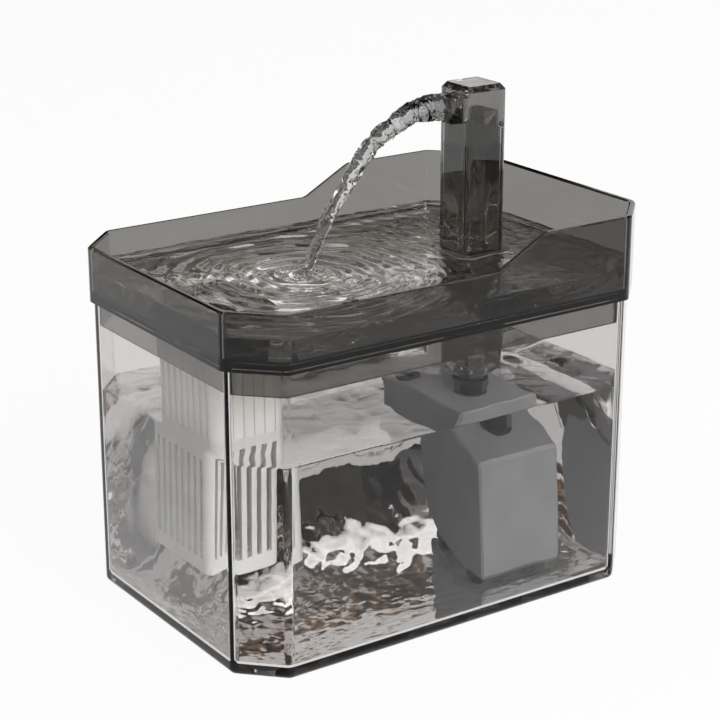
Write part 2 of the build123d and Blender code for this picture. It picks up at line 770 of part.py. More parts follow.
with BuildPart() as chamber_seal:
    with BuildSketch(Plane.YZ.offset(chamber_front - seal_play)):
        with Locations((tower_y, rotor_height)):
            Circle(seal_radius + seal_section / 2)
            Circle(seal_radius - seal_section / 2, mode=Mode.SUBTRACT)
    extrude(amount=-seal_section)

# ---- outlet, cover, gate and small parts -------------------------------------------------------
with BuildPart() as outlet_tube:
    with BuildSketch(Plane.XY.offset(pump_top + tube_lift)):
        with Locations((0, tower_y)):
            Circle(tube_radius)
            Circle(tube_bore, mode=Mode.SUBTRACT)
    extrude(amount=tube_bore_top - tube_top_gap - pump_top - tube_lift)

with BuildPart() as outlet_collar:
    with BuildSketch(Plane.XY.offset(pump_top)):
        with Locations((0, tower_y)):
            Circle(collar_radius)
            Circle(tube_radius + collar_fit, mode=Mode.SUBTRACT)
    extrude(amount=collar_height)
    chamfer(outlet_collar.faces().sort_by(Axis.Z)[-1].edges(), rim_bevel)

pad_rear = pump_front + cover_rim + 2 * cover_fit
pad_front = cover_front - cover_wall
gate_x = (pad_rear + pad_front) / 2
gate_track = gate_height + gate_travel + 2 * gate_fit
gate_track_bottom = pump_middle - gate_track / 2
cover_side = tower_y + pump_depth / 2
track_depth = gate_face + gate_thickness + 2 * gate_fit

with BuildPart() as intake_cover:
    with BuildSketch(Plane.YZ.offset(pump_front)):
        with Locations((tower_y, pump_middle)):
            RectangleRounded(pump_depth, pump_height, pump_round)
    extrude(amount=cover_length)
    chamfer(intake_cover.faces().sort_by(Axis.X)[-1].edges(), pump_round / 2)
    with BuildSketch(Plane.YZ.offset(pump_front)):
        with Locations((tower_y, pump_middle)):
            Rectangle(pump_depth - 2 * cover_wall, pump_height - 2 * cover_wall)
    extrude(amount=cover_length - cover_wall, mode=Mode.SUBTRACT)
    # thicker wall behind the gate's track
    with BuildSketch(Plane.XZ.offset(cover_wall - cover_side)):
        with Locations((gate_x, pump_middle)):
            Rectangle(pad_front - pad_rear, gate_track + 2 * cover_wall)
    extrude(amount=gate_pad)
    # undercut track and the three slots behind it
    with BuildSketch(Plane.XZ.offset(-cover_side)):
        with Locations((gate_x, pump_middle)):
            Rectangle(gate_width + 2 * gate_fit, gate_track)
    extrude(amount=gate_face, mode=Mode.SUBTRACT)
    with BuildSketch(Plane.XZ.offset(gate_face - cover_side)):
        with Locations((gate_x, pump_middle)):
            Rectangle(gate_width + 2 * (gate_wings + gate_fit), gate_track)
    extrude(amount=track_depth - gate_face, mode=Mode.SUBTRACT)
    with BuildSketch(Plane.XZ.offset(track_depth - cover_side)):
        with Locations((gate_x, pump_middle + gate_travel / 2)):
            with GridLocations(0, gate_slot_pitch, 1, gate_slots):
                Rectangle(gate_width, gate_slot_height)
    extrude(amount=cover_wall + gate_pad, mode=Mode.SUBTRACT)
    # intake slots in the underside
    with BuildSketch(Plane.XY.offset(pump_bottom)):
        with Locations((gate_x, tower_y)):
            with GridLocations(intake_pitch, 0, intake_slots, 1):
                Rectangle(intake_slot_width, intake_slot_length)
    extrude(amount=cover_wall, mode=Mode.SUBTRACT)

with BuildPart() as flow_gate:
    with BuildSketch(Plane.XZ.offset(gate_face + gate_fit - cover_side)):
        with Locations((gate_x, gate_track_bottom + gate_fit + gate_height / 2)):
            Rectangle(gate_width + 2 * gate_wings, gate_height)
    extrude(amount=gate_thickness)
    with BuildSketch(Plane.XZ.offset(gate_face + gate_fit - cover_side)):
        with Locations((gate_x, gate_track_bottom + gate_fit + gate_height / 2)):
            Rectangle(gate_width, gate_height)
            with GridLocations(0, gate_slot_pitch, 1, gate_slots):
                Rectangle(gate_width - gate_wings, gate_wings, mode=Mode.SUBTRACT)
    extrude(amount=-(gate_face + gate_fit))

with BuildPart() as cord_grommet:
    with BuildSketch(Plane.XY.offset(pump_top - grommet_depth)):
        with Locations((grommet_x, grommet_y)):
            SlotOverall(
                grommet_length - 2 * grommet_neck, grommet_width - 2 * grommet_neck, rotation=90
            )
    extrude(amount=grommet_depth)
    with BuildSketch(Plane.XY.offset(pump_top)):
        with Locations((grommet_x, grommet_y)):
            SlotOverall(grommet_length, grommet_width, rotation=90)
    extrude(amount=grommet_flange)
    with BuildSketch(Plane.XY.offset(pump_top + grommet_flange)):
        with Locations((grommet_x, grommet_y)):
            Circle(cord_bore)
    extrude(amount=-(grommet_depth + grommet_flange - cord_bore_floor), mode=Mode.SUBTRACT)

# one suction cup on the Z axis, standing on the reservoir's floor
with BuildPart() as single_cup:
    with BuildSketch(Plane.XZ):
        with BuildLine():
            Polyline(
                (0, reservoir_floor + cup_hollow),
                (cup_radius, reservoir_floor),
                (cup_radius, reservoir_floor + cup_lip),
                (cup_neck, pump_bottom),
                (cup_stud, pump_bottom),
                (cup_stud, pump_bottom + cup_stud_length),
                (0, pump_bottom + cup_stud_length),
                close=True,
            )
        make_face()
    revolve(axis=Axis.Z)

with BuildPart() as suction_cups:
    with Locations(*cup_places):
        add(single_cup.part)

# ---- labels and files --------------------------------------------------------------------------
pieces = {
    "tank": tank,
    "foot_pads": foot_pads,
    "tray": tray,
    "tower": tower,
    "tower_gasket": tower_gasket,
    "spout_cap": spout_cap,
    "filter_cage": filter_cage,
    "filter_sponge": filter_sponge,
    "pump_housing": pump_housing,
    "pump_back_plate": pump_back_plate,
    "driver_board": driver_board,
    "stator_core": stator_core,
    "stator_coil": stator_coil,
    "rear_bush": rear_bush,
    "front_bush": front_bush,
    "rotor_shaft": rotor_shaft,
    "rotor_magnet": rotor_magnet,
    "impeller": impeller,
    "volute_plate": volute_plate,
    "chamber_seal": chamber_seal,
    "outlet_tube": outlet_tube,
    "outlet_collar": outlet_collar,
    "intake_cover": intake_cover,
    "flow_gate": flow_gate,
    "cord_grommet": cord_grommet,
    "suction_cups": suction_cups,
}
for name, piece in pieces.items():
    piece.part.label = name
    export_step(piece.part, f"parts/{name}.step")
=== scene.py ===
import json
import math

import bmesh
import bpy
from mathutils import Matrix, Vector, noise
from mathutils.geometry import delaunay_2d_cdt


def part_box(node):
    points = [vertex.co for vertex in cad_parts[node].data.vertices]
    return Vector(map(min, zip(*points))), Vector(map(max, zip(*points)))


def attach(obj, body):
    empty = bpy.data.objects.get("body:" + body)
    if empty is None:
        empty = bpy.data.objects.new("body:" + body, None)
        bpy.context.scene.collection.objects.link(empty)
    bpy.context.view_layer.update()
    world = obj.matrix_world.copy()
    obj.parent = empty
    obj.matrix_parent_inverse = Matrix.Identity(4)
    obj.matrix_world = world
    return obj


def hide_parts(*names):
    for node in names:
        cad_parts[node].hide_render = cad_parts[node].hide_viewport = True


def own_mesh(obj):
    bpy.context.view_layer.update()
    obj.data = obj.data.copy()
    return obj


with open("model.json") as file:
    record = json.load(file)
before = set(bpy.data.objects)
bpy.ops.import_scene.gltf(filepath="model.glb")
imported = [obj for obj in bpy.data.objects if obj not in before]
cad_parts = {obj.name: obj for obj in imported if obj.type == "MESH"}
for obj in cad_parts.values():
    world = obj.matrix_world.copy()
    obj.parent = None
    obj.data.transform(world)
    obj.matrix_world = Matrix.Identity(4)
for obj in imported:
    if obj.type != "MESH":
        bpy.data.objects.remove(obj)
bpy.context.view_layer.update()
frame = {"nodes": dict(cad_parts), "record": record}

# Pet water fountain: the clear plastics, the moulded and sintered parts, the filter foam,
# and the water that runs through them. Metres, +Z up, the water pours towards -Y.

MM = 0.001
nodes = frame["nodes"]


# ---- sizes that the water takes from the frame ---------------------------------------------------
def corners(name):
    """Lowest and highest corner of a CAD node, with its middle."""
    low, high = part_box(name)
    return low, high, (low + high) / 2


tank_low, tank_high, _ = corners("tank")
tray_high = corners("tray")[1]
tower_low, _, tower_mid = corners("tower")
cap_low, cap_high, _ = corners("spout_cap")
cage_mid = corners("filter_cage")[2]
sponge_low, sponge_high, sponge_mid = corners("filter_sponge")

film = 0.15 * MM                      # gap between the water and the plastic that holds it
tank_wall = 3.0 * MM
tank_floor = tank_low.z + 4.0 * MM
corner_leg = 16.15 * MM
floor_bevel = 1.5 * MM
tray_wall = 2.6 * MM
bowl_floor = tank_high.z + 2.7 * MM
bowl_bevel = 1.6 * MM
tower_half = 10.0 * MM
tower_wall = 2.0 * MM
cavity_floor = tower_low.z + 16.0 * MM
plug_step = 1.3 * MM                  # how far the spout cap's plug keeps the tower's water in
mouth_drop = 11.0 * MM                # from the cap's top down to the water that stands in it

tank_level = 85.0 * MM                # still water in the tank
tray_level = bowl_floor + 9.5 * MM    # water in the drinking bowl, just over the weir
landing = Vector((0.0, -29.0 * MM, tray_level))   # where the stream meets the bowl's water


# ---- small helpers -------------------------------------------------------------------------------
def linear(hex_colour):
    """sRGB hex colour as linear RGBA."""
    parts = [int(hex_colour[i:i + 2], 16) / 255 for i in (0, 2, 4)]
    return tuple(c / 12.92 if c <= 0.04045 else ((c + 0.055) / 1.055) ** 2.4
                 for c in parts) + (1.0,)


def add(tree, kind, settings=None, links=None, **attributes):
    """Adds one node; settings are input values and links are sockets that feed its inputs."""
    made = tree.nodes.new(kind)
    for name, value in attributes.items():
        setattr(made, name, value)
    for name, value in (settings or {}).items():
        made.inputs[name].default_value = value
    for name, socket in (links or {}).items():
        tree.links.new(socket, made.inputs[name])
    return made


def reckon(tree, operation, first, second=None):
    """Adds a Math node on two numbers or sockets, and gives its result."""
    made = add(tree, "ShaderNodeMath", operation=operation)
    for slot, value in enumerate((first, second)):
        if isinstance(value, bpy.types.NodeSocket):
            tree.links.new(value, made.inputs[slot])
        elif value is not None:
            made.inputs[slot].default_value = value
    return made.outputs[0]


def new_material(name):
    """Empty node material and its tree."""
    made = bpy.data.materials.new(name)
    made.use_nodes = True
    made.node_tree.nodes.clear()
    return made, made.node_tree


def surface(tree, shader):
    """Ends a material with its surface shader."""
    add(tree, "ShaderNodeOutputMaterial", links={"Surface": shader.outputs[0]})


def new_piece(name, mesh, body, material):
    """Smooth-shaded object at the origin that rides on a CAD body."""
    made = bpy.data.objects.new(name, mesh)
    bpy.context.scene.collection.objects.link(made)
    mesh.name = name
    mesh.materials.clear()
    mesh.materials.append(material)
    mesh.polygons.foreach_set("use_smooth", [True] * len(mesh.polygons))
    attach(made, body)
    return made


def mesh_from(build):
    """Mesh from a bmesh whose normals are set to point outwards."""
    bmesh.ops.recalc_face_normals(build, faces=build.faces)
    mesh = bpy.data.meshes.new("piece")
    build.to_mesh(mesh)
    build.free()
    return mesh


# ---- materials -----------------------------------------------------------------------------------
acrylic_ior = 1.49
water_ior = 1.333
water_skin_mm, water_skin_height_mm = 7.0, 0.05
patch_mm = 14.0                       # size of the uneven colour in moulded parts
foam_cell_mm = 1.3


def raised(tree, pattern, height_mm):
    """Bump node that lifts a pattern by a height in millimetres."""
    return add(tree, "ShaderNodeBump", {"Strength": 1.0, "Distance": height_mm * MM},
               {"Height": pattern})


def see_through(tree, tint, ior, mirror, relief, shade, depth_per_m):
    """Ends a material as a clear body that bends light and dims it with depth.

    Mirror is the share of the real reflection that its skin keeps, and shade is what a skin
    lets through towards the lamps."""
    body = add(tree, "ShaderNodeBsdfPrincipled",
               {"Base Color": linear(tint), "IOR": ior, "Transmission Weight": 1.0,
                "Roughness": 0.0, "Specular Tint": (mirror, mirror, mirror, 1.0)},
               {"Normal": relief.outputs["Normal"]})
    passed = add(tree, "ShaderNodeBsdfTransparent", {"Color": linear(shade)})
    rays = add(tree, "ShaderNodeLightPath")
    skin = add(tree, "ShaderNodeMixShader",
               links={0: rays.outputs["Is Shadow Ray"], 1: body.outputs[0], 2: passed.outputs[0]})
    depth = add(tree, "ShaderNodeVolumeAbsorption",
                {"Color": (0.0, 0.0, 0.0, 1.0), "Density": depth_per_m})
    add(tree, "ShaderNodeOutputMaterial",
        links={"Surface": skin.outputs[0], "Volume": depth.outputs[0]})


def clear_plastic(name, tint, shade, depth_per_m, wave_mm, wave_height_mm, mirror):
    """Polished acrylic: it bends light, darkens what is behind it, and is a little wavy.

    The tint is what the two faces of a wall let through together, and depth_per_m is how fast
    light dies out inside, so that edges and rims look darker than the walls do face on."""
    made, tree = new_material(name)
    place = add(tree, "ShaderNodeTexCoord")
    waves = add(tree, "ShaderNodeTexNoise", {"Scale": 1000 / wave_mm, "Detail": 1.0},
                {"Vector": place.outputs["Object"]})
    relief = raised(tree, waves.outputs["Fac"], wave_height_mm)
    see_through(tree, tint, acrylic_ior, mirror, relief, shade, depth_per_m)
    return made


def moulded(name, colour, streak, roughness, grain_mm, relief_mm, scatter=0.0):
    """Solid moulded plastic, rubber or ceramic: a fine grain from the mould and faint uneven
    colour."""
    made, tree = new_material(name)
    place = add(tree, "ShaderNodeTexCoord")
    grain = add(tree, "ShaderNodeTexNoise",
                {"Scale": 1000 / grain_mm, "Detail": 2.0, "Roughness": 0.6},
                {"Vector": place.outputs["Object"]})
    patches = add(tree, "ShaderNodeTexNoise", {"Scale": 1000 / patch_mm, "Detail": 3.0},
                  {"Vector": place.outputs["Object"]})
    blend = add(tree, "ShaderNodeValToRGB", links={"Fac": patches.outputs["Fac"]})
    blend.color_ramp.elements[0].position = 0.35
    blend.color_ramp.elements[0].color = linear(colour)
    blend.color_ramp.elements[1].position = 0.75
    blend.color_ramp.elements[1].color = linear(streak)
    polish = add(tree, "ShaderNodeMapRange",
                 {"From Min": 0.3, "From Max": 0.7, "To Min": roughness * 0.85,
                  "To Max": min(roughness * 1.15, 1.0)},
                 {"Value": grain.outputs["Fac"]})
    relief = raised(tree, grain.outputs["Fac"], relief_mm)
    surface(tree, add(tree, "ShaderNodeBsdfPrincipled",
                      {"Subsurface Weight": scatter, "Subsurface Scale": 1.5 * MM},
                      {"Base Color": blend.outputs["Color"], "Roughness": polish.outputs["Result"],
                       "Normal": relief.outputs["Normal"]}))
    return made


def layered(name, colour, gap, pitch_mm, direction, roughness, metallic, relief_mm):
    """Stacked sheets or wound wire: fine dark lines across the piece at the real pitch."""
    made, tree = new_material(name)
    place = add(tree, "ShaderNodeTexCoord")
    lines = add(tree, "ShaderNodeTexWave",
                {"Scale": math.pi / 10 / (pitch_mm * MM), "Distortion": 0.4,
                 "Detail": 1.0, "Detail Scale": 40.0},
                {"Vector": place.outputs["Object"]}, bands_direction=direction)
    tone = add(tree, "ShaderNodeValToRGB", links={"Fac": lines.outputs["Fac"]})
    tone.color_ramp.elements[0].color = linear(gap)
    tone.color_ramp.elements[1].position = 0.4
    tone.color_ramp.elements[1].color = linear(colour)
    relief = raised(tree, lines.outputs["Fac"], relief_mm)
    surface(tree, add(tree, "ShaderNodeBsdfPrincipled",
                      {"Metallic": metallic, "Roughness": roughness},
                      {"Base Color": tone.outputs["Color"], "Normal": relief.outputs["Normal"]}))
    return made


def filter_foam(name):
    """Open-cell polyether foam: pale yellow and dull, with painted shade that darkens its pores,
    which are about a millimetre wide.
    """
    made, tree = new_material(name)
    place = add(tree, "ShaderNodeTexCoord")
    cells = add(tree, "ShaderNodeTexVoronoi", {"Scale": 1000 / foam_cell_mm},
                {"Vector": place.outputs["Object"]})
    tone = add(tree, "ShaderNodeValToRGB", links={"Fac": cells.outputs["Distance"]})
    # the darker colour at each cell's middle is painted shade in the pore hollows, not a colour of
    # the foam
    tone.color_ramp.elements[0].position = 0.05
    tone.color_ramp.elements[0].color = linear("b3ab58")
    tone.color_ramp.elements[1].position = 0.5
    tone.color_ramp.elements[1].color = linear("e6df98")
    relief = raised(tree, cells.outputs["Distance"], 0.5)
    surface(tree, add(tree, "ShaderNodeBsdfPrincipled",
                      {"Roughness": 0.95, "Subsurface Weight": 0.2, "Subsurface Scale": 2 * MM,
                       "Sheen Weight": 0.3},
                      {"Base Color": tone.outputs["Color"], "Normal": relief.outputs["Normal"]}))
    return made


def water(name, dimness_per_m, mirror):
    """Fresh water: it bends and dims what lies far behind it, and its skin is a mirror where it
    lies open."""
    made, tree = new_material(name)
    place = add(tree, "ShaderNodeTexCoord")
    chop = add(tree, "ShaderNodeTexNoise", {"Scale": 1000 / water_skin_mm, "Detail": 2.0},
               {"Vector": place.outputs["Object"]})
    relief = raised(tree, chop.outputs["Fac"], water_skin_height_mm)
    see_through(tree, "ffffff", water_ior, mirror, relief, "fefefe", dimness_per_m)
    return made


# clear plastics: tint, shade, absorption per metre, size and height of waves, mirror share;
# moulded parts: colour, streaks, roughness, size and height of grain, scatter;
# layered parts: colour, gaps, pitch, direction, roughness, metal share, height of relief
finishes = {
    "clear_acrylic": clear_plastic("clear_acrylic", "edebea", "fdfdfd", 20.0, 20, 0.1, 0.25),
    "smoke_acrylic": clear_plastic("smoke_acrylic", "9c9a96", "e6e5e4", 100.0, 25, 0.05, 0.5),
    "clear_tower": clear_plastic("clear_tower_acrylic", "bab8b4", "f4f4f3", 45.0, 18, 0.05, 1.0),
    "white_plastic": moulded("white_polypropylene", "f2f2f0", "e6e6e3", 0.38, 0.7, 0.02, 0.15),
    "grey_plastic": moulded("satin_grey_abs", "949597", "8b8c8e", 0.5, 0.5, 0.02),
    "dark_plastic": moulded("satin_black_abs", "303032", "3a3a3c", 0.45, 0.5, 0.02),
    "soft_rubber": moulded("grey_silicone_rubber", "4c4c4e", "434345", 0.55, 0.8, 0.02, 0.1),
    "silicone": moulded("moulded_silicone", "85858a", "77777c", 0.5, 0.8, 0.01, 0.2),
    "black_rubber": moulded("black_nitrile_rubber", "242425", "343436", 0.6, 0.6, 0.03),
    "yellow_foam": filter_foam("yellow_filter_foam"),
    "board": moulded("green_solder_mask", "1f6b3d", "175331", 0.35, 1.5, 0.03),
    "steel": layered("electrical_steel_stack", "b5b6b9", "4c4d50", 0.5, "X", 0.4, 1.0, 0.03),
    "copper": layered("enamelled_copper_winding", "b8672e", "5a2c12", 0.4, "Y", 0.35, 1.0, 0.08),
    "ceramic": moulded("polished_alumina", "efece4", "e6e2d8", 0.15, 0.6, 0.003),
    "magnet": moulded("sintered_ferrite", "2b2b2d", "3a3a3d", 0.7, 0.4, 0.03),
}
for part in frame["record"]["subparts"]:
    cad_mesh = nodes[part["node"]].data
    cad_mesh.materials.clear()
    cad_mesh.materials.append(finishes[part["material_slot"]])


# ---- water held by the plastic -------------------------------------------------------------------
def cut_corner_outline(half_x, half_y, leg, counts):
    """Plan with cut corners, anticlockwise; counts are the points to a short, long and cut side."""
    turn = [(half_x - leg, -half_y), (half_x, -half_y + leg), (half_x, half_y - leg),
            (half_x - leg, half_y), (-half_x + leg, half_y), (-half_x, half_y - leg),
            (-half_x, -half_y + leg), (-half_x + leg, -half_y)]
    short, long, cut = counts
    points = []
    for i, count in enumerate((cut, long, cut, short, cut, long, cut, short)):
        start, end = Vector(turn[i]), Vector(turn[(i + 1) % len(turn)])
        points += [start.lerp(end, j / count) for j in range(count)]
    return points


side_points = (50, 80, 12)            # to a short, long and cut side of the tank


def tank_outline(inset):
    """Plan of the tank, `inset` inside its outer face, as a ring of points."""
    half_x, half_y = tank_high.x - inset, tank_high.y - inset
    leg = corner_leg - (2 - math.sqrt(2)) * inset
    return cut_corner_outline(half_x, half_y, leg, side_points)


def square_outline(centre, half, count):
    """Upright square's plan as a ring of points, `count` to a side, anticlockwise."""
    turn = [Vector(c) * half for c in ((-1, -1), (1, -1), (1, 1), (-1, 1))]
    return [centre + a.lerp(b, j / count) for a, b in zip(turn, turn[1:] + turn[:1])
            for j in range(count)]


def inside(point, ring):
    """Whether a plan point lies inside a ring."""
    found = False
    for a, b in zip(ring, ring[1:] + ring[:1]):
        if (a.y > point.y) != (b.y > point.y):
            if point.x < (b.x - a.x) * (point.y - a.y) / (b.y - a.y) + a.x:
                found = not found
    return found


edge_gap = 1.4                        # spacings by which a pool's inner points keep off its rim,
                                      # both sides together
merge_distance = 1e-7


def pool(rings, spacing):
    """Closed body of water: rings of (outline, height) from the floor up, with a dense floor and
    top."""
    build = bmesh.new()
    loops = [[build.verts.new((p.x, p.y, z)) for p in ring] for ring, z in rings]
    for low, high in zip(loops, loops[1:]):
        for i in range(len(low)):
            j = (i + 1) % len(low)
            build.faces.new((low[i], low[j], high[j], high[i]))
    for (ring, level), loop in ((rings[0], loops[0]), (rings[-1], loops[-1])):
        left, right = min(p.x for p in ring), max(p.x for p in ring)
        front, rear = min(p.y for p in ring), max(p.y for p in ring)
        middle = Vector(((left + right) / 2, (front + rear) / 2))
        shrink = 1 - edge_gap * spacing / (right - left)
        guard = [middle + (p - middle) * shrink for p in ring]
        grid = []
        for i in range(int((right - left) / spacing) + 1):
            for j in range(int((rear - front) / spacing) + 1):
                p = Vector((left + (i + 0.5 * (j % 2)) * spacing, front + j * spacing))
                if inside(p, guard):
                    grid.append(p)
        count = len(ring)
        edges = [(i, (i + 1) % count) for i in range(count)]
        verts, _, faces, *_ = delaunay_2d_cdt(list(ring) + grid, edges, [], 1, merge_distance)
        level_verts = loop + [build.verts.new((v.x, v.y, level)) for v in verts[count:]]
        for face in faces:
            build.faces.new([level_verts[k] for k in face])
    return mesh_from(build)


level_band = 0.3 * MM                 # points this near a pool's top or floor are moved
ring_bend = 14 * MM                   # how far the rings stray from round
bend_waves_per_m = 30.0


def new_tree(name, given_kinds):
    """Empty Geometry Nodes tree with its input and output sockets, and its given values."""
    tree = bpy.data.node_groups.new(name, "GeometryNodeTree")
    kinds = {"Geometry": "Geometry", **given_kinds, "Material": "Material"}
    for label, kind in kinds.items():
        tree.interface.new_socket(label, in_out="INPUT", socket_type="NodeSocket" + kind)
    tree.interface.new_socket("Geometry", in_out="OUTPUT", socket_type="NodeSocketGeometry")
    return tree, add(tree, "NodeGroupInput").outputs


def coated(tree, geometry, material):
    """Ends a Geometry Nodes tree with a real mesh and its material."""
    real = add(tree, "GeometryNodeRealizeInstances", links={"Geometry": geometry})
    skin = add(tree, "GeometryNodeSetMaterial",
               links={"Geometry": real.outputs[0], "Material": material})
    add(tree, "NodeGroupOutput", links={"Geometry": skin.outputs[0]})


def ripple_tree():
    """Geometry Nodes: rings round a centre, fading outwards, and wind chop, on a level surface,
    with a rippled floor under it."""
    lengths = ("Level", "Wavelength", "Height", "Reach", "Chop Size", "Chop Height", "Seed",
               "Floor", "Floor Size", "Floor Height")
    tree, given = new_tree("rippled_surface",
                           {**dict.fromkeys(lengths, "Float"), "Centre": "Vector"})
    place = add(tree, "GeometryNodeInputPosition").outputs["Position"]
    height = add(tree, "ShaderNodeSeparateXYZ", links={"Vector": place}).outputs["Z"]
    away = add(tree, "ShaderNodeVectorMath", links={0: place, 1: given["Centre"]},
               operation="DISTANCE").outputs["Value"]

    bend = add(tree, "ShaderNodeTexNoise", {"Scale": bend_waves_per_m, "Detail": 1.0},
               {"Vector": place}).outputs["Fac"]
    run = reckon(tree, "ADD", away, reckon(tree, "MULTIPLY", bend, ring_bend))
    turns = reckon(tree, "DIVIDE", run, given["Wavelength"])
    rings = reckon(tree, "SINE", reckon(tree, "MULTIPLY", turns, 2 * math.pi))
    fade = reckon(tree, "MULTIPLY", reckon(tree, "DIVIDE", away, given["Reach"]), -1.0)
    tall = reckon(tree, "MULTIPLY", rings, reckon(tree, "EXPONENT", fade))
    ringed = reckon(tree, "MULTIPLY", tall, given["Height"])

    fine = reckon(tree, "DIVIDE", 1.0, given["Chop Size"])
    chop = add(tree, "ShaderNodeTexNoise", {"Detail": 2.0, "Roughness": 0.45},
               {"Vector": place, "W": given["Seed"], "Scale": fine},
               noise_dimensions="4D").outputs["Fac"]
    level = reckon(tree, "SUBTRACT", chop, 0.5)
    chopped = reckon(tree, "MULTIPLY", level, given["Chop Height"])
    on_top = reckon(tree, "GREATER_THAN", height,
                    reckon(tree, "SUBTRACT", given["Level"], level_band))
    top_rise = reckon(tree, "MULTIPLY", reckon(tree, "ADD", ringed, chopped), on_top)

    floor_fine = reckon(tree, "DIVIDE", 1.0, given["Floor Size"])
    floor_wave = add(tree, "ShaderNodeTexNoise", {"Detail": 1.0, "Roughness": 0.5},
                     {"Vector": place, "Scale": floor_fine}).outputs["Fac"]
    floor_tall = reckon(tree, "MULTIPLY", floor_wave, given["Floor Height"])
    on_floor = reckon(tree, "LESS_THAN", height,
                      reckon(tree, "ADD", given["Floor"], level_band))
    floor_rise = reckon(tree, "MULTIPLY", floor_tall, on_floor)

    rise = add(tree, "ShaderNodeCombineXYZ", links={"Z": reckon(tree, "ADD", top_rise, floor_rise)})
    moved = add(tree, "GeometryNodeSetPosition",
                links={"Geometry": given["Geometry"], "Offset": rise.outputs[0]})
    coated(tree, moved.outputs[0], given["Material"])
    return tree


def grown(tree, source, values):
    """Plain mesh that a Geometry Nodes tree makes of a mesh or a curve."""
    carrier = bpy.data.objects.new("carrier", source)
    bpy.context.scene.collection.objects.link(carrier)
    modifier = carrier.modifiers.new("grow", "NODES")
    modifier.node_group = tree
    sockets = {s.name: s.identifier for s in tree.interface.items_tree if s.in_out == "INPUT"}
    for name, value in values.items():
        modifier[sockets[name]] = value
    bpy.context.view_layer.update()
    evaluated = carrier.evaluated_get(bpy.context.evaluated_depsgraph_get())
    mesh = bpy.data.meshes.new_from_object(evaluated)
    bpy.data.objects.remove(carrier)
    return mesh


ripples = ripple_tree()
clear_water = water("fresh_water", 2.5, 0.4)
open_water = water("open_water", 2.0, 1.0)

pool_spacing = 1.3 * MM
side = tank_wall + film
tank_pool = pool([
    (tank_outline(side + floor_bevel), tank_floor + film),
    (tank_outline(side), tank_floor + floor_bevel + film),
    (tank_outline(side), tank_level),
], pool_spacing)
new_piece(
    "tank_water",
    grown(ripples, tank_pool, {
        "Level": tank_level, "Wavelength": 16 * MM, "Height": 0.25 * MM, "Reach": 60 * MM,
        "Chop Size": 26 * MM, "Chop Height": 1.8 * MM, "Seed": 3.0,
        "Floor": tank_floor, "Floor Size": 7 * MM, "Floor Height": 0.6 * MM,
        "Centre": (cage_mid.x, cage_mid.y, tank_level), "Material": clear_water}),
    "base", clear_water)

bowl_inset = tray_wall + film
overhang = tray_high.x - tank_high.x
bowl_pool = pool([
    (tank_outline(bowl_inset - overhang + bowl_bevel), bowl_floor + film),
    (tank_outline(bowl_inset - overhang), bowl_floor + bowl_bevel + film),
    (tank_outline(bowl_inset - overhang), tray_level),
], pool_spacing)
new_piece(
    "tray_water",
    grown(ripples, bowl_pool, {
        "Level": tray_level, "Wavelength": 8 * MM, "Height": 0.85 * MM, "Reach": 36 * MM,
        "Chop Size": 13 * MM, "Chop Height": 1.4 * MM, "Seed": 8.0,
        "Floor": bowl_floor, "Floor Size": 20 * MM, "Floor Height": 0.0,
        "Centre": tuple(landing), "Material": open_water}),
    "tray", open_water)


column_points = 10                    # to a side of the tower's channel
column_spacing = 1.5 * MM


def water_column():
    """Water that stands in the tower's square channel, narrower inside the spout cap's plug."""
    middle = Vector((tower_mid.x, tower_mid.y))
    wide = tower_half - tower_wall - film
    narrow = wide - plug_step
    plug_foot = cap_low.z - film
    levels = [(wide, cavity_floor + film), (wide, plug_foot), (narrow, plug_foot + 2 * film),
              (narrow, cap_high.z - mouth_drop)]
    return pool([(square_outline(middle, half, column_points), z) for half, z in levels],
                column_spacing)


new_piece("tower_water", water_column(), "tower", clear_water)


# ---- pouring stream ------------------------------------------------------------------------------
rope_stretch = (1.0, 0.35, 0.3)       # noise is drawn out along the falling water


def stream_tree():
    """Geometry Nodes: a round jet along a curve, with ropes and beads drawn along the flow."""
    lengths = ("Rope Size", "Rope Depth", "Bead Size", "Bead Depth")
    tree, given = new_tree("pouring_jet", {**dict.fromkeys(lengths, "Float"), "Rings": "Int"})
    even = add(tree, "GeometryNodeResampleCurve",
               links={"Curve": given["Geometry"], "Count": given["Rings"]})
    thick = add(tree, "GeometryNodeInputRadius")
    section = add(tree, "GeometryNodeCurvePrimitiveCircle", {"Resolution": 32, "Radius": 1.0})
    skin = add(tree, "GeometryNodeCurveToMesh", {"Fill Caps": True},
               {"Curve": even.outputs[0], "Profile Curve": section.outputs[0],
                "Scale": thick.outputs[0]})
    place = add(tree, "GeometryNodeInputPosition").outputs["Position"]
    normal = add(tree, "GeometryNodeInputNormal").outputs["Normal"]

    stretched = add(tree, "ShaderNodeVectorMath", {1: rope_stretch}, {0: place},
                    operation="MULTIPLY")
    ropes = add(tree, "ShaderNodeTexNoise", {"Detail": 2.0, "Distortion": 0.6},
                {"Vector": stretched.outputs[0],
                 "Scale": reckon(tree, "DIVIDE", 1.0, given["Rope Size"])}).outputs["Fac"]
    rope_out = reckon(tree, "MULTIPLY", reckon(tree, "SUBTRACT", ropes, 0.5), given["Rope Depth"])
    beads = add(tree, "ShaderNodeTexNoise", {"Detail": 1.0},
                {"Vector": place,
                 "Scale": reckon(tree, "DIVIDE", 1.0, given["Bead Size"])}).outputs["Fac"]
    bead_out = reckon(tree, "MULTIPLY", reckon(tree, "SUBTRACT", beads, 0.5), given["Bead Depth"])

    push = add(tree, "ShaderNodeVectorMath",
               links={0: normal, "Scale": reckon(tree, "ADD", rope_out, bead_out)},
               operation="SCALE")
    moved = add(tree, "GeometryNodeSetPosition",
                links={"Geometry": skin.outputs["Mesh"], "Offset": push.outputs[0]})
    coated(tree, moved.outputs[0], given["Material"])
    return tree


